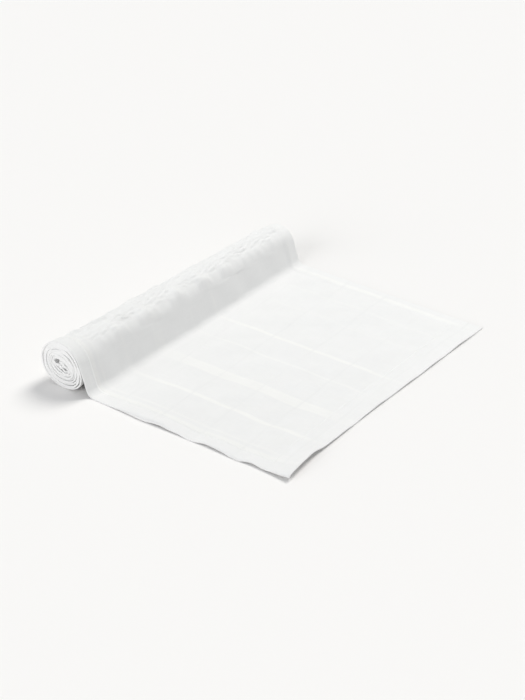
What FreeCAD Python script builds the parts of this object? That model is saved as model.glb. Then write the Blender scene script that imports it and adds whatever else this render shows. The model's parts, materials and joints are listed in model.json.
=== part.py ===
"""Woven table runner, partly rolled up: one roll, a short ramp down to the table and a flat end.

Row frame, in millimetres: +X from the roll towards the free end, +Y across the runner from its near
long side to its far one, +Z up. The origin is the middle of the footprint, on the table.

The cloth bends anywhere. Its flat end is cut into bays that meet at straight bend lines, and the roll
with its ramp is the base that they hang on. Every layer is an offset from one back surface.
"""
import FreeCAD, Part

import math
import os

# The cloth as it is cut and sewn
runner_width = 450.0
runner_length = 1500.0
cloth_thickness = 0.45
hem_layers = 3
side_hem_width = 20.0
end_hem_width = 36.0

# Sewing: one row of stitches along each hem, drawn as a low bead on the face
stitch_inset = 2.5
stitch_width = 0.4
stitch_height = 0.15

# How it is rolled: the air between turns is less at the far end, so the roll tapers
core_radius = 5.0
winding_gap_near = 1.21
winding_gap_far = 0.15
core_hem_half_turns = 2

# Where the cloth leaves the roll, as an angle above the roll's middle, and how it comes down
leave_angle = 18.0
ramp_radius = 22.0
flat_length_near = 304.0
flat_length_far = 287.0

# The flat end is cut at its bend lines; the lead is what stays with the ramp at the far side
bay_count = 3
bay_gap = 0.3
ramp_lead = 23.0

hem_thickness = hem_layers * cloth_thickness
stitch_top = hem_thickness + stitch_height
bay_length = (min(flat_length_near, flat_length_far) - ramp_lead) / bay_count
bays_start = -bay_count * bay_length
roll_end = bays_start - bay_gap / 2.0

ramp_turn = math.radians(90.0 - leave_angle)
leave_cos = math.cos(math.radians(leave_angle))
leave_sin = math.sin(math.radians(leave_angle))
ramp_tangent = ramp_radius * math.tan(ramp_turn / 2.0)


def between(near_value, far_value, across):
    """A size at the distance across from the near long side."""
    return near_value + (far_value - near_value) * across / runner_width


def roll_section(across, turns):
    """The roll and ramp at one place across the runner; X is measured back from the free end.

    The roll is a chain of half circles, each smaller than the last by half the pitch. All radii are
    to the back surface. The outer radius is the one that uses up the cloth's whole length.
    """
    flat_length = between(flat_length_near, flat_length_far, across)
    pitch = stitch_top + between(winding_gap_near, winding_gap_far, across)
    # The slope's length is slope_share times the outer radius, plus slope_rest.
    slope_share = (1.0 + leave_sin) / leave_cos
    slope_rest = (stitch_top - pitch / 2.0 * (1.0 - leave_sin)) / leave_cos
    length = runner_length - flat_length - ramp_radius * ramp_turn + ramp_tangent - slope_rest
    turned = 2.0 * math.pi * turns
    half_depth = pitch * (2 * turns - 1) / 4.0
    radius = (length / turned + half_depth) / (1.0 + slope_share / turned)
    slope = slope_share * radius + slope_rest
    centre_x = -flat_length - ramp_tangent - slope * leave_sin - radius * leave_cos
    centre_z = radius + stitch_top - pitch / 2.0 * (1.0 - leave_sin)
    return {
        "radius": radius,
        "pitch": pitch,
        "core": radius - 2.0 * half_depth,
        "foot": -flat_length,
        "centre": (centre_x, centre_z),
        "back": centre_x - radius - stitch_top,
    }


def smallest_core(turns):
    return min(roll_section(0.0, turns)["core"], roll_section(runner_width, turns)["core"])


# As many turns as the core leaves room for
roll_turns = 1
while smallest_core(roll_turns + 1) >= core_radius:
    roll_turns += 1
half_turns = 2 * roll_turns
core_fold = half_turns - core_hem_half_turns

overall_length = -min(roll_section(side, roll_turns)["back"] for side in (0.0, runner_width))
free_end = overall_length / 2.0
near_side = -runner_width / 2.0


def place(x_from_end, across, height):
    """A point in the row frame."""
    return FreeCAD.Vector(free_end + x_from_end, near_side + across, height)


def polar(centre, radius, angle):
    """A point at an angle in degrees, anticlockwise from +X, about a centre in the section."""
    turn = math.radians(angle)
    return (centre[0] + radius * math.cos(turn), centre[1] + radius * math.sin(turn))


def wound_edges(section, across, offset, outermost, innermost):
    """The half turns of one layer from the inside out, as arcs through three points."""
    edges = []
    for half_turn in range(innermost, outermost - 1, -1):
        radius = section["radius"] - half_turn * section["pitch"] / 2.0 + offset
        shift = section["pitch"] / 2.0 if half_turn % 2 else 0.0
        centre_x = section["centre"][0] - shift * leave_cos
        centre_z = section["centre"][1] - shift * leave_sin
        start = leave_angle + 180.0 * (half_turn + 1)
        points = []
        for angle in (start, start - 90.0, start - 180.0):
            x, z = polar((centre_x, centre_z), radius, angle)
            points.append(place(x, across, z))
        edges.append(Part.Arc(*points).toShape())
    return edges


def ramp_edges(section, across, offset):
    """The straight slope off the roll, the arc at its foot and the lead that lies on the table."""
    centre = (section["foot"], ramp_radius)
    radius = ramp_radius - offset
    leave = polar(section["centre"], section["radius"] + offset, leave_angle)
    arc_angles = (180.0 + leave_angle, 225.0 + leave_angle / 2.0, 270.0)
    arc = [place(x, across, z) for x, z in (polar(centre, radius, angle) for angle in arc_angles)]
    return [
        Part.LineSegment(place(leave[0], across, leave[1]), arc[0]).toShape(),
        Part.Arc(*arc).toShape(),
        Part.LineSegment(arc[2], place(roll_end, across, offset)).toShape(),
    ]


def start_of(edges):
    return edges[0].valueAt(edges[0].FirstParameter)


def end_of(edges):
    return edges[-1].valueAt(edges[-1].LastParameter)


def closed_outline(back, face):
    """The closed wire round a layer, from the edges along its back surface and along its face."""
    outline = list(back)
    outline.append(Part.LineSegment(end_of(back), end_of(face)).toShape())
    outline.extend(reversed(face))
    outline.append(Part.LineSegment(start_of(face), start_of(back)).toShape())
    return Part.Wire(Part.__sortEdges__(outline))


def curved_layer(edges_at, from_across, to_across, low, high):
    """A band of curved cloth: straight rulings join its outline at one side to the other."""
    wires = []
    for across in (from_across, to_across):
        section = roll_section(across, roll_turns)
        wires.append(closed_outline(edges_at(section, across, low), edges_at(section, across, high)))
    return Part.makeLoft(wires, True, True)


def rolled_layer(from_across, to_across, low, high, outermost=0, innermost=half_turns - 1):
    """A band of the rolled cloth, over some of its half turns."""
    def edges_at(section, across, offset):
        return wound_edges(section, across, offset, outermost, innermost)

    return curved_layer(edges_at, from_across, to_across, low, high)


def ramp_layer(from_across, to_across, low, high):
    """A band of the ramp and its lead."""
    return curved_layer(ramp_edges, from_across, to_across, low, high)


def core_row(from_across, to_across, low, high):
    """A straight stitch row across the runner on the core hem, beside the hem's inner fold."""
    sections = [(across, roll_section(across, roll_turns)) for across in (from_across, to_across)]
    radii = [section["radius"] - core_fold * section["pitch"] / 2.0 for _, section in sections]
    inset = math.degrees(stitch_inset / min(radii))
    spread = math.degrees(stitch_width / 2.0 / min(radii))
    wires = []
    for radius, (across, section) in zip(radii, sections):
        corners = []
        for offset, side in ((low, -1), (high, -1), (high, 1), (low, 1)):
            angle = leave_angle + 180.0 * core_fold + inset + side * spread
            x, z = polar(section["centre"], radius + offset, angle)
            corners.append(place(x, across, z))
        wires.append(Part.makePolygon(corners + corners[:1]))
    return Part.makeLoft(wires, True, True)


def flat_layer(from_x, to_x, from_across, to_across, low, high):
    """A band of the flat cloth between two distances from the free end."""
    corner = place(from_x, from_across, low)
    return Part.makeBox(to_x - from_x, to_across - from_across, high - low, corner)


# Bands across the runner: the panel, the two hems beside it and the stitch rows on the hems
near_fold = side_hem_width
far_fold = runner_width - side_hem_width
near_row = near_fold - stitch_inset
far_row = far_fold + stitch_inset
half_stitch = stitch_width / 2.0
panel_band = (near_fold, far_fold)
side_bands = {
    "near_hem": (0.0, near_fold, 0.0, hem_thickness),
    "far_hem": (far_fold, runner_width, 0.0, hem_thickness),
    "near_stitching": (near_row - half_stitch, near_row + half_stitch, hem_thickness, stitch_top),
    "far_stitching": (far_row - half_stitch, far_row + half_stitch, hem_thickness, stitch_top),
}
parts = {}

# The roll, with the hem at its core, and the ramp that leads off it
parts["rolled_cloth"] = rolled_layer(*panel_band, 0.0, cloth_thickness, 0, core_fold - 1)
parts["core_hem"] = rolled_layer(*panel_band, 0.0, hem_thickness, core_fold)
parts["core_stitching"] = core_row(*panel_band, hem_thickness, stitch_top)
parts["ramp_cloth"] = ramp_layer(*panel_band, 0.0, cloth_thickness)
for name, band in side_bands.items():
    parts["rolled_" + name] = rolled_layer(*band)
    parts["ramp_" + name] = ramp_layer(*band)

# The flat bays, from the ramp to the free end. The last one ends in the hem of the free end.
end_fold = -end_hem_width
for bay in range(1, bay_count + 1):
    bay_from = bays_start + (bay - 1) * bay_length + bay_gap / 2.0
    bay_to = bays_start + bay * bay_length - bay_gap / 2.0 if bay < bay_count else 0.0
    panel_to = bay_to if bay < bay_count else end_fold
    parts["bay_%d_cloth" % bay] = flat_layer(bay_from, panel_to, *panel_band, 0.0, cloth_thickness)
    for name, band in side_bands.items():
        parts["bay_%d_%s" % (bay, name)] = flat_layer(bay_from, bay_to, *band)

end_row = end_fold + stitch_inset
parts["free_end_hem"] = flat_layer(end_fold, 0.0, *panel_band, 0.0, hem_thickness)
parts["free_end_stitching"] = flat_layer(
    end_row - half_stitch, end_row + half_stitch, *panel_band, hem_thickness, stitch_top)

os.makedirs("parts", exist_ok=True)
for name, solid in parts.items():
    solid.exportStep("parts/%s.step" % name)

for across in (0.0, runner_width):
    section = roll_section(across, roll_turns)
    print("at %.0f across: outer radius %.2f, pitch %.2f, core radius %.2f, centre %.2f %.2f" % (
        across, section["radius"] + cloth_thickness, section["pitch"], section["core"],
        free_end + section["centre"][0], section["centre"][1]))
print("%d turns, overall length %.2f, %d nodes" % (roll_turns, overall_length, len(parts)))
for bay in range(bay_count):
    bend_x = free_end + bays_start + bay * bay_length
    print("bend line %d at x %.3f, z %.3f" % (bay + 1, bend_x, hem_thickness))
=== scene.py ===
"""Looks of a woven table runner that is partly rolled up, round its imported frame.

Everything is in metres in the row frame: +X from the roll to the free end, +Y from the near long side
to the far one, +Z up. The cloth is laid from flat grids: each grid point is a place on the cut cloth,
so many metres from the free end and so many across, and the lay functions say where it lies. What they
lay is the cloth's underside, which is the inside of the roll, and its thickness goes on top.
"""

import json
import math

import bmesh
import bpy
import numpy as np
from mathutils import Matrix, Vector


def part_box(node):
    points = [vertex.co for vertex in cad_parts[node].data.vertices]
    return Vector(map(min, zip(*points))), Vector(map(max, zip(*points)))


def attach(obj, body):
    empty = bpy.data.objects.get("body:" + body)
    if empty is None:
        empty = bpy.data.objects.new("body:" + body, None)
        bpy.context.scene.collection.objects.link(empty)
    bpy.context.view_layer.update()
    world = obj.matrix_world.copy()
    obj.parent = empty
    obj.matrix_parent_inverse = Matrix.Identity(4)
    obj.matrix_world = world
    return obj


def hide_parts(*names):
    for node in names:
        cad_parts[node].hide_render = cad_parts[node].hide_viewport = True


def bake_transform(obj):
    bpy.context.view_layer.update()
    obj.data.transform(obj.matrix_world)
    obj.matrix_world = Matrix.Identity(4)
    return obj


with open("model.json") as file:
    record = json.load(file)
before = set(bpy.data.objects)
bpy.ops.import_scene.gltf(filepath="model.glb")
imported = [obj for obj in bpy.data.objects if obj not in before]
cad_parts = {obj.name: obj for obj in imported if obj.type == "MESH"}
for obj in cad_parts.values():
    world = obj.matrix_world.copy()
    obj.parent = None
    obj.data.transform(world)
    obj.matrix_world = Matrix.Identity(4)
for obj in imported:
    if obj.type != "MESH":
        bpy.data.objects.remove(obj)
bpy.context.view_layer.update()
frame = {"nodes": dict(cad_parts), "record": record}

MM = 0.001

# ---------------------------------------------------------------- sizes
# A pair of sizes is one for the near side and one for the far side.

# The cloth as it is cut and sewn. On the table a hem is three layers pressed flat; in the roll its folds
# are unpressed and fill the room between the turns, up to the thickest.
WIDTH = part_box("bay_1_far_hem")[1].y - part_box("bay_1_near_hem")[0].y
LENGTH = 1.5
CLOTH = 0.45 * MM
HEM = 1.5 * MM
THICKEST = 6.0 * MM
SIDE_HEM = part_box("bay_1_near_hem")[1].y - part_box("bay_1_near_hem")[0].y
END_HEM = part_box("free_end_hem")[1].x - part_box("free_end_hem")[0].x
# How far to each side of its fold a side hem comes down to the plain cloth; an end hem takes the first
HEM_SLOPE = (1.3 * MM, 4.5 * MM)

# The sewing: how far a row lies inside the hem's fold, and one stitch of it
ROW_INSET = 2.5 * MM
STITCH = 3.0 * MM
STITCH_GAP = 0.5 * MM
THREAD = 0.42 * MM
UNDER_THREAD = 0.12 * MM
STITCHES_AT_ONCE = 12

# Where the grids are close: so far in from an edge, and so far past a hem's fold
EDGE_STEPS = np.array([0.0, 0.15, 0.4, 0.8, 1.3, 2.0, 3.0]) * MM
FOLD_STEPS = np.array([-1.3, -0.65, 0.0, 0.65, 1.3, 2.4, 3.6]) * MM
FINE_STEP = 2.2 * MM
COARSE_STEP = 14.0 * MM
FLAT_STEP = 3 * MM

FREE_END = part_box("free_end_hem")[1].x
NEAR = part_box("bay_1_near_hem")[0].y

# The bend lines, halfway between the bays, and the cuts between the pieces, at mid bay
BENDS = [joint["pos_m"][0] for joint in frame["record"]["behaviour"]["joints"]]
BAY = BENDS[1] - BENDS[0]
CUTS = [BENDS[0] + BAY / 2, BENDS[1] + BAY / 2]

# The ramp: the angle round the roll where the cloth leaves it, which is also the ramp's lean from upright,
# the radius at its foot, and where its line would meet the table
LEAVE = math.radians(18.0)
RAMP_RADIUS = 14.0 * MM
RAMP_CORNER = (FREE_END - 320.0 * MM, FREE_END - 303.0 * MM)

# The roll: its number of turns, the usual room for one turn, its outer radius and height off the table
TURNS = (9.5, 10.4)
PITCH = (2.71 * MM, 1.65 * MM)
ROLL_RADIUS = (31.7 * MM, 26.2 * MM)
ROLL_LIFT = 1.7 * MM
# Its innermost turn: half its length and half its height, how it leans, and how far along it is pinched
CORE_LONG = (9.6 * MM, 11.4 * MM)
CORE_SHORT = (1.2 * MM, 9.2 * MM)
CORE_TILT = math.radians(-29.0)
CORE_PINCH = 6.4 * MM
# Its outermost turn: how loose it is, where it turns over to the top, and where it is cut into two pieces
LOOSE_TURN = 1.8 * MM
SHOULDER = math.radians(46.0)
SHOULDER_WAVER = math.radians(3.8)
SHOULDER_ROUNDING = 4.0 * MM
CUT_TURN = 0.70
# Which way its turns sag apart, and how finely its two pieces are laid
SAG_SIDE = math.radians(-38.0)
OUTER_ROWS = 110
INNER_ROWS = 500

# How far the flat cloth strays from flat and straight
SWELL = 0.75 * MM
RIPPLE = 0.55 * MM
END_LIFT = 1.5 * MM
CORNER_CURL = 10.0 * MM
DRAWN_BACK = 5.0 * MM
REACHING_OUT = 2.8 * MM
SIDE_STAND = 0.9 * MM
SIDE_WAVER = 0.8 * MM
# Bulges of the near long side: height, and then place and reach from the free end as shares of the width
SIDE_BULGES = ((5.5 * MM, 0.50, 0.19), (3.0 * MM, 0.21, 0.15))

# How far the ramp and the roll stray from smooth and round
RAMP_PROUD = 0.35 * MM
TURN_SAG = 5.5 * MM
TURN_UNEVEN = 0.22 * MM
TURN_FLUSH = 0.7 * MM
LUMP = 0.42 * MM
WRINKLE = 1.5 * MM
FINE_CREASE = 0.4 * MM
TUCK = 3.0 * MM
TUCK_SPACING = 41 * MM


def ease(value, low, high):
    """0 below low, 1 above high and smooth between."""
    t = np.clip((value - low) / (high - low), 0.0, 1.0)
    return t * t * (3.0 - 2.0 * t)


def bump(value, centre, reach):
    """A smooth bell of height 1 at the centre that is all but gone at the reach."""
    return np.exp(-(((value - centre) / (0.5 * reach)) ** 2))


def spread(low, high, step):
    """Evenly spaced places from low to high, no further apart than step."""
    return np.linspace(low, high, max(2, int(math.ceil(abs(high - low) / step)) + 1))


def between(pair, share):
    """A size that goes evenly from the near side to the far one."""
    return pair[0] + (pair[1] - pair[0]) * share


# ---------------------------------------------------------------- how the cloth lies

class Ripples:
    """Smooth, uneven swells: a seeded sum of slanting waves, about -1 to 1."""

    def __init__(self, seed, wavelengths, slant, spread_angle, count=9):
        draw = np.random.default_rng(seed)
        length = draw.uniform(wavelengths[0], wavelengths[1], count)
        heading = math.radians(slant) + draw.uniform(-1, 1, count) * math.radians(spread_angle)
        self.along = 2 * math.pi / length * np.cos(heading)
        self.aside = 2 * math.pi / length * np.sin(heading)
        self.phase = draw.uniform(0, 2 * math.pi, count)
        self.size = 1.4 / math.sqrt(count)

    def __call__(self, along, aside=0.0):
        waves = [np.sin(a * along + b * aside + c)
                 for a, b, c in zip(self.along, self.aside, self.phase)]
        return self.size * sum(waves)

    def creases(self, along, aside, sharp=0.35):
        """Narrow valleys where the ripples cross zero: 1 in a valley, 0 away from it."""
        return np.exp(-np.abs(self(along, aside)) / sharp)


FLAT_SWELL = Ripples(3, (90 * MM, 210 * MM), 45, 60)
FLAT_RIPPLE = Ripples(11, (34 * MM, 80 * MM), 53, 20)
RAMP_LUMPS = Ripples(5, (40 * MM, 110 * MM), 10, 25)
ROLL_LUMPS = Ripples(6, (14 * MM, 40 * MM), 70, 40)
ROLL_WRINKLE = Ripples(8, (7 * MM, 16 * MM), 76, 30)
FINE_WRINKLE = Ripples(41, (5 * MM, 9 * MM), 75, 35)
ROLL_PATCH = Ripples(9, (22 * MM, 60 * MM), 30, 60)
SHOULDER_WAVE = Ripples(14, (11 * MM, 80 * MM), 0, 10, count=16)
EDGE_WAVE = Ripples(21, (30 * MM, 90 * MM), 0, 10)
# These waves are in turns of the roll, not in metres
TURN_WAVE = Ripples(34, (0.7, 2.6), 0, 40)


def section_sizes(share):
    """The sizes of the roll's and the ramp's underside at a share of the width, as a dict."""
    pitch = between(PITCH, share)
    corner = between(RAMP_CORNER, share)
    # the ramp's foot is tighter in the middle, the hem swells the near end and the far end draws in
    ramp = RAMP_RADIUS * (1.0 - 0.3 * bump(share, 0.55, 0.75))
    radius = between(ROLL_RADIUS, share) + 0.8 * MM * np.exp(-share / 0.05)
    radius = radius - 0.9 * MM * ease(share, 0.93, 1.0)
    tangent = ramp * math.tan((math.pi / 2 - LEAVE) / 2)
    centre_z = radius + ROLL_LIFT - pitch / 2 * (1 - math.sin(LEAVE))
    slope = (centre_z + radius * math.sin(LEAVE)) / math.cos(LEAVE)
    return {
        "radius": radius,
        "pitch": pitch,
        "ramp": ramp,
        "foot": corner + tangent,
        "slope": slope - tangent,
        "x": corner - slope * math.sin(LEAVE) - radius * math.cos(LEAVE),
        "z": centre_z,
    }


def shoulder(radius, angle, across):
    """How far the outermost turn stands off a circle where it comes straight up from the ramp and then
    turns over to the top, at a polar angle seen from the roll's centre."""
    at = SHOULDER + SHOULDER_WAVER * SHOULDER_WAVE(across, 0.4 * radius * angle)
    over = 2 * at - LEAVE
    rising = radius / np.cos(np.clip(angle - LEAVE, 0.0, 1.3))
    crossing = radius / np.cos(np.clip(over - angle, 0.0, 1.3))
    least = np.minimum(rising, crossing)
    rest = np.exp((least - rising) / SHOULDER_ROUNDING) + np.exp((least - crossing) / SHOULDER_ROUNDING)
    hull = np.maximum(least - SHOULDER_ROUNDING * np.log(rest), radius)
    return np.where((angle > LEAVE) & (angle < over), hull - radius, 0.0)


def lay_flat(x, across):
    """The flat end: where a point at x and across lies."""
    share = across / WIDTH
    from_end = (FREE_END - x) / WIDTH
    run = FREE_END - x
    # low swells that die out at the ramp and towards the edges
    inside = ease(share, 0.0, 0.10) * (1 - ease(share, 0.92, 1.0)) * (1 - ease(from_end, 0.52, 0.66))
    inside = inside * ease(from_end, 0.0, 0.10)
    z = SWELL * inside * (1 + FLAT_SWELL(run, across))
    z = z + RIPPLE * inside * (1 + FLAT_RIPPLE(run, across))
    # the free end stands a little off the table, and swells and curls down beside its near corner
    lift = END_LIFT * (1 + 0.3 * EDGE_WAVE(across)) * (1 - 0.7 * ease(share, 0.93, 1.0))
    z = z + lift * np.exp(-from_end / 0.06) * ease(share, 0.0, 0.04)
    curl = (1 - 0.2 * np.exp(-run / (2.5 * MM))) * (1 - 0.45 * np.exp(-across / (3.0 * MM)))
    z = z + CORNER_CURL * (1 - ease(share, 0.06, 0.27)) * curl * np.exp(-from_end / 0.045)
    # the end is not quite straight: it draws back beside the near corner and reaches out at the far one
    drawn = DRAWN_BACK * ease(share, 0.0, 0.16) * (1 - ease(share, 0.35, 0.8))
    drawn = drawn - REACHING_OUT * ease(share, 0.75, 1.0)
    x = x - drawn * (1 - ease(from_end, 0.0, 0.4))
    # the near long side stands a little off the table, bulges in places and isn't quite straight
    stand = SIDE_STAND * (1 + 0.6 * EDGE_WAVE(run)) * np.exp(-across / (30.0 * MM))
    z = z + stand * ease(from_end, 0.0, 0.04) * (1 - ease(from_end, 0.5, 0.66))
    beside = (1 - np.exp(-across / (1.8 * MM))) * np.exp(-across / (26.0 * MM))
    for height, place, reach in SIDE_BULGES:
        z = z + height * beside * bump(from_end, place, reach)
    waver = SIDE_WAVER * EDGE_WAVE(run) * np.exp(-across / (20.0 * MM))
    across = across + waver * (1 - ease(from_end, 0.55, 0.62)) * ease(from_end, 0.0, 0.05)
    return x, NEAR + across, np.maximum(z, 0.0) + UNDER_THREAD


def lay_ramp(part, across):
    """The arc at the ramp's foot, part 0 to 1, and the slope above it, 1 to 2."""
    size = section_sizes(across / WIDTH)
    turn = (math.pi / 2 - LEAVE) * np.minimum(part, 1.0)
    up = size["slope"] * np.maximum(part - 1.0, 0.0)
    x = size["foot"] - size["ramp"] * np.sin(turn) - up * math.sin(LEAVE)
    z = size["ramp"] * (1 - np.cos(turn)) + up * math.cos(LEAVE)
    z = z + UNDER_THREAD * (1 - ease(part, 0.0, 1.0))
    # the slope hangs a little unevenly
    proud = RAMP_PROUD * RAMP_LUMPS(across, 30 * MM * part) * ease(part, 0.4, 1.2)
    return x + proud * math.cos(LEAVE), NEAR + across, z + proud * math.sin(LEAVE)


def tucks(across, angle):
    """Small pinched folds that lie along the back of the roll: a ridge beside a valley."""
    draw = np.random.default_rng(27)
    height = 0.0 * across
    for place in np.arange(34 * MM, WIDTH - 30 * MM, TUCK_SPACING):
        place = place + draw.uniform(-9, 9) * MM
        turned = math.radians(draw.uniform(100, 122))
        turned = turned + draw.uniform(-0.006, 0.006) * (across - place) / MM
        reach = draw.uniform(18, 34) * MM
        aside = (angle - turned) / math.radians(6.5)
        fold = aside * np.exp(-aside ** 2 / 2) * bump(across, place, reach)
        height = height + fold * draw.uniform(0.7, 1.3)
    return height


def outermost_relief(radius, wound, angle, across):
    """How far the roll's outermost turn stands off a circle: its shoulder, lumps, wrinkles and tucks."""
    share = across / WIDTH
    arc = radius * 2 * math.pi * wound
    outermost = 1 - ease(wound, 0.45, 0.62)
    hems = ease(share, 0.03, 0.13) * (1 - 0.7 * ease(share, 0.93, 1.0))
    body = ease(wound, 0.06, 0.14) * (0.25 + 0.75 * hems)
    patch = 0.5 + 0.5 * ROLL_PATCH(across, arc)
    upper = ease(angle, math.radians(46.0), math.radians(66.0))
    wrinkled = upper * patch * body * outermost
    proud = shoulder(radius, angle, across) * hems
    proud = proud + LUMP * ROLL_LUMPS(across, arc) * (0.4 + 0.6 * upper) * body * outermost
    proud = proud - WRINKLE * ROLL_WRINKLE.creases(across, arc) * wrinkled
    proud = proud + FINE_CREASE * FINE_WRINKLE(across, arc) * upper * hems * outermost
    return proud + TUCK * tucks(across, angle) * outermost


def lay_roll(wound, across):
    """The roll: wound is the number of turns in from where the cloth leaves it."""
    share = across / WIDTH
    size = section_sizes(share)
    radius = size["radius"]
    angle = LEAVE + 2 * math.pi * wound
    near_end = 1 - ease(share, 0.005, 0.06)
    # at the near side the outermost turn is loose, so the rest is smaller and lies to the right
    loose = LOOSE_TURN * near_end * ease(wound, 0.62, 1.1)
    # the first fold round nothing was pressed flat, and the turns grow rounder outwards
    turns = between(TURNS, share)
    inward = wound / turns
    outer = radius - loose / 2 * (1 - inward)
    along = np.cos(angle - CORE_TILT) * (outer - (radius - between(CORE_LONG, share)) * inward)
    aside = np.sin(angle - CORE_TILT) * (outer - (radius - between(CORE_SHORT, share)) * inward)
    pinch = ease(wound, turns - 1.35, turns - 1.0) * (1 - ease(share, 0.2, 0.6))
    aside = aside * (1 - 0.97 * pinch * np.exp(-(along / CORE_PINCH) ** 6))
    # the loose turns sag apart at the lower right, and the winding is uneven
    below = np.maximum(np.cos(angle - SAG_SIDE), 0.0) ** 5
    sag = TURN_SAG * near_end * below * ease(wound, 0.6, 0.8) * np.maximum(1 - inward, 0.0) ** 1.4
    uneven = TURN_UNEVEN * TURN_WAVE(2 * wound) * ease(wound, 0.3, 0.6)
    # however deep a wrinkle is, it stops short of the next turn
    proud = np.maximum(outermost_relief(radius, wound, angle, across), -0.5 * size["pitch"]) + sag + uneven
    x = size["x"] + loose / 2 + along * math.cos(CORE_TILT) - aside * math.sin(CORE_TILT)
    z = size["z"] + along * math.sin(CORE_TILT) + aside * math.cos(CORE_TILT)
    # the turns don't end quite flush
    flush = TURN_FLUSH * TURN_WAVE(3 * wound) * ease(wound, 0.1, 0.9)
    side = 1 - ease(np.minimum(share, 1 - share), 0.0, 0.06)
    y = NEAR + across + flush * side
    return x + proud * np.cos(angle), y, z + proud * np.sin(angle)


# ---------------------------------------------------------------- pieces of cloth

def across_stations(step):
    """Places across the runner, close together at the edges and at the hem folds."""
    hem = spread(4.0 * MM, SIDE_HEM - 2 * MM, step)
    middle = spread(SIDE_HEM + 5.0 * MM, WIDTH / 2, step)
    half = np.concatenate([EDGE_STEPS, hem, SIDE_HEM + FOLD_STEPS, middle])
    return np.concatenate([half, (WIDTH - half[:-1])[::-1]])


def free_end_stations():
    """Places along the free end up to its cut, close together at its edge and its hem's fold."""
    fold = FREE_END - END_HEM
    return np.concatenate([FREE_END - EDGE_STEPS[:-1],
                           spread(FREE_END - EDGE_STEPS[-1], fold + 2.0 * MM, FLAT_STEP),
                           fold - FOLD_STEPS[:5],
                           spread(fold - 2.2 * MM, CUTS[1], FLAT_STEP)])


def packed_hem(wound, across):
    """How thick the hem is in the roll, where its unpressed folds fill the room between the turns."""
    pitch = between(PITCH, across / WIDTH)
    x, y, z = lay_roll(wound, across)
    next_x, next_y, next_z = lay_roll(np.maximum(wound - 1, 0.0), across)
    room = np.hypot(next_x - x, next_z - z)
    usual = 0.85 * pitch
    # pressed together all round but for the lower right, where the turns sag apart
    apart = np.maximum(np.cos(LEAVE + 2 * math.pi * wound - SAG_SIDE), 0.0) ** 3
    apart = apart * (1 - 0.8 * wound / between(TURNS, across / WIDTH))
    filled = np.clip(room - (apart - 0.03) * MM, 0.6 * pitch, 0.97 * THICKEST)
    hem = usual + (filled - usual) * ease(wound, 0.95, 1.15)
    return HEM + (hem - HEM) * ease(wound, 0.0, 0.3)


def cloth_thickness(run, across, hem):
    """How thick the cloth is at a place on it, with its folded edges rounded."""
    side = np.minimum(across, WIDTH - across)
    end = np.minimum(run, LENGTH - run)
    slope = between(HEM_SLOPE, ease(across, 0.4 * WIDTH, 0.6 * WIDTH))
    folded = np.maximum(1 - ease(side, SIDE_HEM - slope, SIDE_HEM + slope),
                        1 - ease(end, END_HEM - HEM_SLOPE[0], END_HEM + HEM_SLOPE[0]))
    # packed in the roll, the folds press each other square
    square = ease(hem, 1.2 * HEM, 1.6 * HEM)
    round_over = np.clip(np.minimum(side, end) / ((0.5 - 0.3 * square) * hem), 0.0, 1.0)
    rounding = np.sqrt(1 - (1 - round_over) ** 2)
    return (CLOTH + (hem - CLOTH) * folded) * (1 - (0.55 - 0.35 * square) * (1 - rounding))


def add_object(name, mesh):
    piece = bpy.data.objects.new(name, mesh)
    bpy.context.scene.collection.objects.link(piece)
    return piece


def cloth_piece(name, lay, material):
    """A piece of cloth from its lay: a table of laid points, each row one place along the cloth, with
    the distance of each point from the free end and across, and the thickness of its hem there."""
    rows, columns = lay["run"].shape
    grid = bmesh.new()
    bmesh.ops.create_grid(grid, x_segments=columns - 1, y_segments=rows - 1, size=1.0)
    mesh = bpy.data.meshes.new(name)
    grid.to_mesh(mesh)
    grid.free()
    made = np.empty(len(mesh.vertices) * 3)
    mesh.vertices.foreach_get("co", made)
    made = made.reshape(-1, 3)
    column = np.rint((made[:, 0] + 1) / 2 * (columns - 1)).astype(int)
    row = np.rint((made[:, 1] + 1) / 2 * (rows - 1)).astype(int)
    mesh.vertices.foreach_set("co", lay["points"][row, column].astype(np.float32).ravel())
    # the place on the cut cloth, in metres, is the pattern's map
    corner_vertex = np.empty(len(mesh.loops), int)
    mesh.loops.foreach_get("vertex_index", corner_vertex)
    places = np.stack([lay["run"][row, column], lay["across"][row, column]], axis=1)
    uv = mesh.uv_layers.new(name="cloth")
    uv.data.foreach_set("uv", places[corner_vertex].astype(np.float32).ravel())
    # each point's thickness is a share of the thickest, in 250 levels
    piece = add_object(name, mesh)
    group = piece.vertex_groups.new(name="thickness")
    levels = np.rint(lay["thick"][row, column] / THICKEST * 250) / 250
    for level in np.unique(levels):
        group.add([int(v) for v in np.flatnonzero(levels == level)], float(level), "REPLACE")
    solid = piece.modifiers.new("thickness", "SOLIDIFY")
    solid.thickness = THICKEST
    solid.offset = 1.0
    solid.vertex_group = group.name
    solid.use_rim = True
    apply_modifiers(piece)
    finish_mesh(piece, material)
    return piece


def apply_modifiers(piece):
    shown = piece.evaluated_get(bpy.context.evaluated_depsgraph_get())
    mesh = bpy.data.meshes.new_from_object(shown)
    piece.modifiers.clear()
    old = piece.data
    piece.data = mesh
    bpy.data.meshes.remove(old)


def finish_mesh(piece, material):
    piece.data.materials.append(material)
    piece.data.shade_smooth()
    piece.data.set_sharp_from_angle(angle=math.radians(50))


def as_table(points):
    """Rows of laid points, each an x, a y and a z along the row, as one table of points."""
    return np.stack([np.stack(np.broadcast_arrays(*row), axis=1) for row in points])


def make_lay(points, run, across, hem):
    """The lay of a piece, from rows of laid points and rows or single values of run and hem."""
    table = as_table(points)
    size = table.shape[:2]
    lay = {"points": table, "run": np.broadcast_to(run, size), "across": np.broadcast_to(across, size)}
    lay["thick"] = cloth_thickness(lay["run"], lay["across"], np.broadcast_to(hem, size))
    return lay


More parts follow.
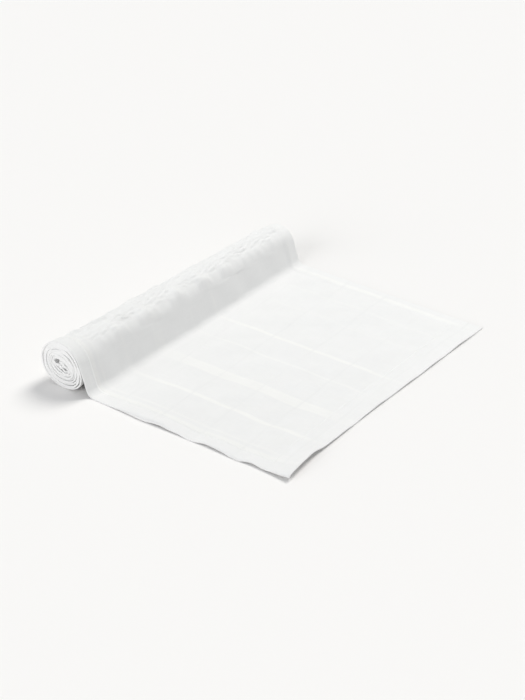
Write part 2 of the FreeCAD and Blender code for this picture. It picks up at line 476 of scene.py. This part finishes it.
def add_run(points, start_run):
    """The distance from the free end at each row, adding up the cloth's own length."""
    table = as_table(points)
    steps = np.linalg.norm(np.diff(table, axis=0), axis=2)
    return start_run + np.concatenate([np.zeros((1, table.shape[1])), np.cumsum(steps, axis=0)])


def flat_lay(x_stations, across):
    """A piece of the flat end, laid at places along it."""
    points = [lay_flat(np.full_like(across, x), across) for x in x_stations]
    return make_lay(points, (FREE_END - x_stations)[:, None], across, HEM)


def outer_lay(across):
    """From the cut in the first bay to the foot, up the ramp and round the outermost turn."""
    foot = section_sizes(across / WIDTH)["foot"]
    points = [lay_flat(CUTS[0] + (foot - CUTS[0]) * part, across) for part in np.linspace(0.0, 1.0, 34)]
    for part in np.concatenate([np.linspace(0.0, 1.0, 13)[1:], np.linspace(1.0, 2.0, 17)[1:]]):
        points.append(lay_ramp(np.full_like(across, part), across))
    hem = [np.full_like(across, HEM) for row in points]
    for wound in np.linspace(0.0, CUT_TURN, OUTER_ROWS)[1:]:
        points.append(lay_roll(np.full_like(across, wound), across))
        hem.append(packed_hem(np.full_like(across, wound), across))
    return make_lay(points, add_run(points, FREE_END - CUTS[0]), across, np.stack(hem))


def inner_lay(across, start_run):
    """From the cut in the outermost turn to the cloth's end, at its full length all the way across."""
    tried = np.linspace(CUT_TURN, TURNS[1] + 0.5, INNER_ROWS)
    tried_run = add_run([lay_roll(np.full_like(across, wound), across) for wound in tried], start_run)
    last = np.array([np.interp(LENGTH, column, tried) for column in tried_run.T])
    wounds = [CUT_TURN + (last - CUT_TURN) * part for part in np.linspace(0.0, 1.0, INNER_ROWS)]
    points = [lay_roll(wound, across) for wound in wounds]
    hem = np.stack([packed_hem(wound, across) for wound in wounds])
    return make_lay(points, add_run(points, start_run), across, hem)


# ---------------------------------------------------------------- sewing

def side_seam(lay, at):
    """A seam along the cloth at one place across: its run, points, normals and the cloth's thickness."""
    across = lay["across"][0]
    right = int(np.searchsorted(across, at))
    part = (at - across[right - 1]) / (across[right] - across[right - 1])
    left_line, right_line = lay["points"][:, right - 1], lay["points"][:, right]
    line = left_line + (right_line - left_line) * part
    normal = np.cross(right_line - left_line, np.gradient(line, axis=0))
    thick = lay["thick"][:, right - 1]
    run = lay["run"][:, right - 1]
    return run, line, normal / np.linalg.norm(normal, axis=1)[:, None], thick


def end_seam(lay, from_free_end):
    """A seam across the cloth at one distance from its free end, told as a side seam is."""
    column = np.arange(len(lay["across"][0]))
    row = np.argmax(lay["run"] > from_free_end, axis=0)
    before, after = lay["points"][row - 1, column], lay["points"][row, column]
    runs = lay["run"][row - 1, column], lay["run"][row, column]
    part = ((from_free_end - runs[0]) / (runs[1] - runs[0]))[:, None]
    line = before + (after - before) * part
    normal = np.cross(np.gradient(line, axis=0), after - before)
    thick = lay["thick"][row, column]
    return lay["across"][0], line, normal / np.linalg.norm(normal, axis=1)[:, None], thick


def sew(threads, seam, low, high, under):
    """Add a row of stitches to a bmesh, on top of the cloth and, where it is said, under it too."""
    run, line, normal, thick = seam
    pitch = STITCH + STITCH_GAP
    places = np.arange(math.ceil(low / pitch), math.floor(high / pitch)) * pitch + pitch / 2

    def at(where, values):
        return np.stack([np.interp(where, run, values[:, i]) for i in range(3)], axis=1)

    middle = at(places, line)
    along = at(places + 0.3 * STITCH, line) - at(places - 0.3 * STITCH, line)
    up = at(places, normal)
    height = np.interp(places, run, thick)
    shape = Matrix.Diagonal((STITCH / 2, THREAD / 2, THREAD / 2, 1.0)) @ Matrix.Rotation(math.pi / 2, 4, "Y")
    few = bmesh.new()
    waiting = bpy.data.meshes.new("few_stitches")
    for i, (point, forward, out, tall) in enumerate(zip(middle, along, up, height)):
        forward = Vector(forward).normalized()
        out = Vector(out)
        out = (out - forward * out.dot(forward)).normalized()
        turned = Matrix((forward, out.cross(forward), out)).transposed().to_4x4()
        # a stitch lies half sunk in the cloth
        for lift in [tall + 0.15 * THREAD] + [-0.1 * THREAD] * under:
            place = Matrix.Translation(Vector(point) + out * lift)
            bmesh.ops.create_uvsphere(few, u_segments=6, v_segments=5, radius=1.0,
                                      matrix=place @ turned @ shape)
        # a small bmesh is quick to add to, so the stitches are passed on a few at a time
        if i % STITCHES_AT_ONCE == STITCHES_AT_ONCE - 1 or i == len(middle) - 1:
            few.to_mesh(waiting)
            threads.from_mesh(waiting)
            few.clear()
    few.free()
    bpy.data.meshes.remove(waiting)


def sewing_piece(name, lay, material, ends=(), under=True):
    """The stitches of both side seams on a piece of cloth, and of the end seams that it holds."""
    threads = bmesh.new()
    for at in (SIDE_HEM - ROW_INSET, WIDTH - SIDE_HEM + ROW_INSET):
        seam = side_seam(lay, at)
        sew(threads, seam, seam[0][0], seam[0][-1], under)
    for from_free_end in ends:
        sew(threads, end_seam(lay, from_free_end), SIDE_HEM, WIDTH - SIDE_HEM, under)
    mesh = bpy.data.meshes.new(name)
    threads.to_mesh(mesh)
    threads.free()
    piece = add_object(name, mesh)
    finish_mesh(piece, material)
    return piece


# ---------------------------------------------------------------- material effects

def node(tree, kind, links=None, **settings):
    """A node with its settings, and with values or other nodes' outputs on its inputs."""
    made = tree.nodes.new("ShaderNode" + kind)
    for name, value in settings.items():
        setattr(made, name, value)
    for socket, value in (links or {}).items():
        if isinstance(value, bpy.types.NodeSocket):
            tree.links.new(value, made.inputs[socket])
        else:
            made.inputs[socket].default_value = value
    return made


def maths(tree, operation, *values):
    return node(tree, "Math", dict(enumerate(values)), operation=operation).outputs[0]


def noise(tree, place, scale, detail):
    return node(tree, "TexNoise", {"Vector": place, "Scale": scale, "Detail": detail}).outputs[0]


def map_range(tree, value, start, end, to_start=0.0, to_end=1.0, **settings):
    """A value's way from start to end, turned into the way between two other values."""
    links = {"Value": value, "From Min": start, "From Max": end, "To Min": to_start, "To Max": to_end}
    return node(tree, "MapRange", links, **settings).outputs["Result"]


def effect_group(name, inputs, outputs):
    """An empty shader node group with its sockets: the tree, and what comes in and goes out by name."""
    tree = bpy.data.node_groups.new(name, "ShaderNodeTree")
    for socket, kind in inputs.items():
        tree.interface.new_socket(socket, in_out="INPUT", socket_type="NodeSocket" + kind)
    for socket in outputs:
        tree.interface.new_socket(socket, in_out="OUTPUT", socket_type="NodeSocketFloat")
    return tree, tree.nodes.new("NodeGroupInput").outputs, tree.nodes.new("NodeGroupOutput").inputs


def use_group(tree, group, links):
    """The outputs of an effect group that is placed in a tree with these inputs."""
    return node(tree, "Group", links, node_tree=group).outputs


def band_mask(tree, value, middle, width, soft):
    """1 within a band round a middle value, 0 away from it, with soft edges."""
    away = maths(tree, "ABSOLUTE", maths(tree, "SUBTRACT", value, middle))
    return map_range(tree, away, width / 2 + soft, width / 2 - soft, interpolation_type="SMOOTHSTEP")


def plain_weave_group():
    """Over-and-under yarns: the height of the cloth's face, and a mask of the gaps between yarns."""
    tree, given, out = effect_group("plain_weave", {"Place": "Vector", "Yarn": "Float"}, ("Height", "Gaps"))
    axes = node(tree, "SeparateXYZ", {"Vector": given["Place"]}).outputs
    crown, count = [], []
    for axis in ("X", "Y"):
        yarns = maths(tree, "DIVIDE", axes[axis], given["Yarn"])
        crown.append(maths(tree, "ABSOLUTE", maths(tree, "SINE", maths(tree, "MULTIPLY", yarns, math.pi))))
        count.append(maths(tree, "FLOOR", yarns))
    over = maths(tree, "PINGPONG", maths(tree, "ADD", count[0], count[1]), 1.0)
    warp = maths(tree, "MULTIPLY", crown[1], maths(tree, "MULTIPLY_ADD", crown[0], 0.6, 0.4))
    weft = maths(tree, "MULTIPLY", crown[0], maths(tree, "MULTIPLY_ADD", crown[1], 0.6, 0.4))
    face = node(tree, "Mix", {"Factor": over, "A": warp, "B": weft}).outputs["Result"]
    tree.links.new(face, out["Height"])
    gaps = maths(tree, "SUBTRACT", 1.0, maths(tree, "MAXIMUM", crown[0], crown[1]))
    tree.links.new(gaps, out["Gaps"])
    return tree


def slub_group():
    """Uneven yarns: long thin streaks both ways of the weave, and broad clouds, each about -1 to 1."""
    tree, given, out = effect_group("slubs", {"Place": "Vector"}, ("Streaks", "Clouds"))
    streaks = []
    for stretch in ((35.0, 900.0, 1.0), (900.0, 35.0, 1.0)):
        scaled = node(tree, "Mapping", {"Vector": given["Place"], "Scale": stretch}).outputs[0]
        streaks.append(noise(tree, scaled, 1.0, 2.0))
    both = maths(tree, "ADD", streaks[0], streaks[1])
    tree.links.new(maths(tree, "MULTIPLY_ADD", both, 2.0, -2.0), out["Streaks"])
    clouds = noise(tree, given["Place"], 26.0, 2.0)
    tree.links.new(maths(tree, "MULTIPLY_ADD", clouds, 2.0, -1.0), out["Clouds"])
    return tree


# The satin stripes: middle, from the near long side, and width, both in millimetres, strength, and how
# much of that strength still shows on the roll, where the light no longer glances off them
SATIN_STRIPES = ((24.5, 7.0, 0.55, 0.9), (36.0, 3.4, 0.38, 0.85), (85.3, 6.0, 0.78, 0.25),
                 (141.6, 4.2, 0.65, 0.25), (148.0, 15.0, 0.52, 0.25), (154.8, 4.2, 0.66, 0.25),
                 (216.6, 3.2, 0.5, 0.2), (264.8, 5.6, 0.75, 0.25), (343.0, 6.0, 0.15, 0.2),
                 (390.0, 5.0, 0.2, 0.2), (435.0, 7.6, 0.68, 0.15))
STRIPE_SOFTNESS = 1.6 * MM
ROLL_FADE = (250.0 * MM, 310.0 * MM)
HEM_FADE = (20.0 * MM, 55.0 * MM)
# The low lines that cross the cloth
WEFT_LINE_SPACING = 64.5 * MM
FIRST_WEFT_LINE = 87.0 * MM
WEFT_LINE_WIDTH = 3.0 * MM
WEFT_LINE_WANDER = 3.0 * MM


def figure_group():
    """The woven figure of the cloth: satin stripes along it, whose strength in colour is partly painted
    sheen, thin low lines across it, and its hems.
    """
    tree, given, out = effect_group("woven_figure", {"Place": "Vector"}, ("Satin", "Line", "Hem"))
    axes = node(tree, "SeparateXYZ", {"Vector": given["Place"]}).outputs
    run, across = axes["X"], axes["Y"]
    satin = None
    for middle, width, strength, rolled in SATIN_STRIPES:
        stripe = band_mask(tree, across, middle * MM, width * MM, STRIPE_SOFTNESS)
        show = map_range(tree, run, *ROLL_FADE, strength, strength * rolled)
        stripe = maths(tree, "MULTIPLY", stripe, show)
        satin = stripe if satin is None else maths(tree, "MAXIMUM", satin, stripe)
    # the lines wander a little, and come and go
    wander = noise(tree, given["Place"], 9.0, 1.0)
    from_line = maths(tree, "SUBTRACT", run, FIRST_WEFT_LINE - WEFT_LINE_SPACING)
    wandering = maths(tree, "MULTIPLY_ADD", wander, WEFT_LINE_WANDER, from_line)
    nearest = maths(tree, "PINGPONG", wandering, WEFT_LINE_SPACING / 2)
    line = band_mask(tree, nearest, 0.0, WEFT_LINE_WIDTH, WEFT_LINE_WIDTH / 2)
    line = maths(tree, "MULTIPLY", line, map_range(tree, run, *ROLL_FADE, 1.0, 0.25))
    fade = noise(tree, given["Place"], 17.0, 2.0)
    line = maths(tree, "MULTIPLY", line, maths(tree, "MULTIPLY_ADD", fade, 2.4, -0.4))
    line = node(tree, "Clamp", {"Value": line}).outputs[0]
    off_line = maths(tree, "SUBTRACT", 1.0, maths(tree, "MULTIPLY", line, 0.8))
    # the stripes lose their gloss, and their painted sheen with it, in the fold of the end hem
    satin = maths(tree, "MULTIPLY", satin, map_range(tree, run, *HEM_FADE, 0.3, 1.0))
    tree.links.new(maths(tree, "MULTIPLY", satin, off_line), out["Satin"])
    tree.links.new(line, out["Line"])
    from_middle = maths(tree, "ABSOLUTE", maths(tree, "SUBTRACT", across, WIDTH / 2))
    side = maths(tree, "GREATER_THAN", from_middle, WIDTH / 2 - SIDE_HEM)
    free_end = maths(tree, "LESS_THAN", run, END_HEM)
    tree.links.new(maths(tree, "MAXIMUM", side, free_end), out["Hem"])
    return tree


# ---------------------------------------------------------------- materials

CLOTH_COLOUR = (0.881, 0.877, 0.872, 1.0)
# the satin stripes' colour: partly their own, partly a painted sheen where the light glances off them
SATIN_AND_PAINTED_SHEEN_COLOUR = (0.936, 0.930, 0.908, 1.0)
THREAD_COLOUR = (0.90, 0.90, 0.89, 1.0)
FLOOR_COLOUR = (0.904, 0.889, 0.8805, 1.0)

YARN = 0.7 * MM
YARN_RELIEF = 0.12 * MM
PLY_RELIEF = 0.05 * MM
CLOTH_ROUGHNESS = 0.88
SATIN_SMOOTHER = 0.30
# How much lighter, or darker where it is below 0, each effect makes the cloth
STREAK_TONE = 0.026
CLOUD_TONE = 0.022
LINE_TONE = -0.018
HEM_TONE = 0.012
# painted shade: the cloth is darker in the gaps between its yarns, where shade falls
YARN_GAP_PAINTED_SHADE = -0.09
# painted light and shade across the cloth: darker at its near side, whiter towards its far side
NEAR_SIDE_PAINTED_SHADE = -0.0155
PAINTED_LIGHT_ACROSS_WIDTH = 0.060


def new_material(name):
    material = bpy.data.materials.new(name)
    material.use_nodes = True
    return material, material.node_tree, material.node_tree.nodes["Principled BSDF"]


def shaded(tree, colour, amount):
    """A colour made lighter or darker by an amount that changes over the surface, 0 for none."""
    factor = maths(tree, "ADD", amount, 1.0)
    grey = node(tree, "CombineColor", {"Red": factor, "Green": factor, "Blue": factor}).outputs[0]
    mix = node(tree, "Mix", {"Factor": 1.0, "A": colour, "B": grey}, data_type="RGBA", blend_type="MULTIPLY")
    return mix.outputs["Result"]


def raise_surface(tree, shader, relief, strength, distance):
    """Give a material's surface a fine relief."""
    raised = node(tree, "Bump", {"Strength": strength, "Distance": distance, "Height": relief})
    tree.links.new(raised.outputs[0], shader.inputs["Normal"])


def woven_material():
    """White cloth in plain weave, with satin stripes a little smoother, warmer and brighter, the brightness
    partly their own and partly painted sheen, with painted shade in the gaps between its yarns and painted
    light that whitens it towards its far side.
    """
    material, tree, shader = new_material("woven_cloth")
    place = node(tree, "UVMap", uv_map="cloth").outputs[0]
    weave = use_group(tree, plain_weave_group(), {"Place": place, "Yarn": YARN})
    slubs = use_group(tree, slub_group(), {"Place": place})
    figure = use_group(tree, figure_group(), {"Place": place})
    colour = node(tree, "Mix", {"Factor": figure["Satin"], "A": CLOTH_COLOUR, "B": SATIN_AND_PAINTED_SHEEN_COLOUR},
                  data_type="RGBA").outputs["Result"]
    # painted light and shade: the cloth is made darker at its near side and whiter towards its far side, as
    # more light falls on the far side
    across = node(tree, "SeparateXYZ", {"Vector": place}).outputs["Y"]
    tone = maths(tree, "MULTIPLY_ADD", across, PAINTED_LIGHT_ACROSS_WIDTH / WIDTH, NEAR_SIDE_PAINTED_SHADE)
    for effect, amount in ((slubs["Streaks"], STREAK_TONE), (slubs["Clouds"], CLOUD_TONE),
                           (figure["Line"], LINE_TONE), (figure["Hem"], HEM_TONE),
                           (weave["Gaps"], YARN_GAP_PAINTED_SHADE)):
        tone = maths(tree, "MULTIPLY_ADD", effect, amount, tone)
    tree.links.new(shaded(tree, colour, tone), shader.inputs["Base Color"])
    roughness = maths(tree, "MULTIPLY_ADD", figure["Satin"], -SATIN_SMOOTHER, CLOTH_ROUGHNESS)
    tree.links.new(roughness, shader.inputs["Roughness"])
    relief = maths(tree, "MULTIPLY_ADD", slubs["Streaks"], 0.25, weave["Height"])
    relief = maths(tree, "MULTIPLY_ADD", figure["Line"], -1.2, relief)
    raise_surface(tree, shader, relief, 0.7, YARN_RELIEF)
    shader.inputs["Specular IOR Level"].default_value = 0.25
    shader.inputs["Sheen Weight"].default_value = 0.08
    shader.inputs["Sheen Roughness"].default_value = 0.4
    return material


def thread_material():
    """White sewing thread of two plies, lighter than the cloth and a little glossy, with painted shade in
    the grooves between the plies.
    """
    material, tree, shader = new_material("sewing_thread")
    place = node(tree, "TexCoord").outputs["Object"]
    plies = node(tree, "TexWave", {"Vector": place, "Scale": 900.0, "Distortion": 0.5},
                 bands_direction="DIAGONAL").outputs["Fac"]
    # painted shade: the thread is darker in the grooves between its plies, where its relief is low
    tone = maths(tree, "MULTIPLY_ADD", plies, 0.08, -0.04)
    tree.links.new(shaded(tree, THREAD_COLOUR, tone), shader.inputs["Base Color"])
    tree.links.new(maths(tree, "MULTIPLY_ADD", plies, 0.15, 0.5), shader.inputs["Roughness"])
    raise_surface(tree, shader, plies, 0.4, PLY_RELIEF)
    return material


def plain_material(name, colour, roughness):
    material, tree, shader = new_material(name)
    shader.inputs["Base Color"].default_value = colour
    shader.inputs["Roughness"].default_value = roughness
    return material


# ---------------------------------------------------------------- making the cloth

woven = woven_material()
thread = thread_material()

fine = across_stations(FINE_STEP)
coarse = across_stations(COARSE_STEP)
end_lay = flat_lay(free_end_stations(), fine)
middle_lay = flat_lay(spread(CUTS[1], CUTS[0], FLAT_STEP), fine)
outer = outer_lay(fine)
inner = inner_lay(coarse, np.interp(coarse, fine, outer["run"][-1]))

cloth_end = cloth_piece("cloth_free_end", end_lay, woven)
cloth_middle = cloth_piece("cloth_middle", middle_lay, woven)
cloth_outer = cloth_piece("cloth_ramp_and_outer_turn", outer, woven)
cloth_inner = cloth_piece("cloth_inner_turns", inner, woven)
sewing_end = sewing_piece("sewing_free_end", end_lay, thread, ends=(END_HEM - ROW_INSET,))
sewing_middle = sewing_piece("sewing_middle", middle_lay, thread)
sewing_outer = sewing_piece("sewing_ramp_and_outer_turn", outer, thread)
sewing_inner = sewing_piece("sewing_inner_turns", inner, thread,
                            ends=(LENGTH - END_HEM + ROW_INSET,), under=False)

# ---------------------------------------------------------------- what the inner turns ride on, and what each piece stands for

for piece in (cloth_inner, sewing_inner):
    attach(piece, "roll")
for pieces, first, second, bend in (((cloth_outer, sewing_outer), "roll", "bay_1", BENDS[0]),
                                    ((cloth_middle, sewing_middle), "bay_1", "bay_2", BENDS[1]),
                                    ((cloth_end, sewing_end), "bay_2", "bay_3", BENDS[2])):
    for piece in pieces:
        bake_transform(piece)


def nodes_of(starts, sewn):
    """The frame's nodes whose names start so: the sewing among them, or all the rest."""
    named = [name for name in frame["nodes"] if name.startswith(starts)]
    return [name for name in named if name.endswith("stitching") == sewn]


for cloth, sewing, starts in ((cloth_inner, sewing_inner, ("rolled", "core")),
                              (cloth_outer, sewing_outer, ("ramp", "bay_1")),
                              (cloth_middle, sewing_middle, ("bay_2",)),
                              (cloth_end, sewing_end, ("bay_3", "free"))):
    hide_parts(*nodes_of(starts, False))
    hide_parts(*nodes_of(starts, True))


# ---------------------------------------------------------------- floor, light and camera

bpy.ops.mesh.primitive_plane_add(size=12.0, location=(0, 0, 0))
floor = bpy.context.object
floor.name = "floor"
floor.data.materials.append(plain_material("floor", FLOOR_COLOUR, 0.9))

SKY_COLOUR = (0.968, 1.002, 1.028, 1.0)
SKY_STRENGTH = 0.44
world = bpy.data.worlds.new("soft_studio")
bpy.context.scene.world = world
world.use_nodes = True
sky = world.node_tree.nodes["Background"]
sky.inputs["Color"].default_value = SKY_COLOUR
sky.inputs["Strength"].default_value = SKY_STRENGTH


def soft_sun(name, strength, angle, towards, colour):
    """A wide, even light from a direction, the angle in degrees wide."""
    data = bpy.data.lights.new(name, "SUN")
    data.energy = strength
    data.color = colour
    data.angle = math.radians(angle)
    light = add_object(name, data)
    light.rotation_euler = Vector(towards).to_track_quat("Z", "Y").to_euler()


soft_sun("back_box", 1.90, 30, (0.05, 0.60, 0.80), (1.0, 0.990, 0.955))
soft_sun("front_box", 1.43, 50, (-0.2, -0.95, 0.30), (1.0, 1.0, 1.0))

CAMERA_AIM = Vector((FREE_END - 0.4601 * WIDTH, NEAR + 0.5077 * WIDTH, 0.0))
CAMERA_ELEVATION = math.radians(31.67)
CAMERA_AZIMUTH = math.radians(36.09)
CAMERA_DISTANCE = 6.5635 * WIDTH
CAMERA_LENS = 113.14
back = Vector((math.sin(CAMERA_AZIMUTH) * math.cos(CAMERA_ELEVATION),
               -math.cos(CAMERA_AZIMUTH) * math.cos(CAMERA_ELEVATION),
               math.sin(CAMERA_ELEVATION)))
camera_data = bpy.data.cameras.new("camera")
camera_data.lens = CAMERA_LENS
camera_data.clip_end = 50.0
camera = add_object("camera", camera_data)
camera.location = CAMERA_AIM + back * CAMERA_DISTANCE
camera.rotation_euler = back.to_track_quat("Z", "Y").to_euler()
bpy.context.scene.camera = camera
bpy.context.scene.view_settings.view_transform = "Standard"
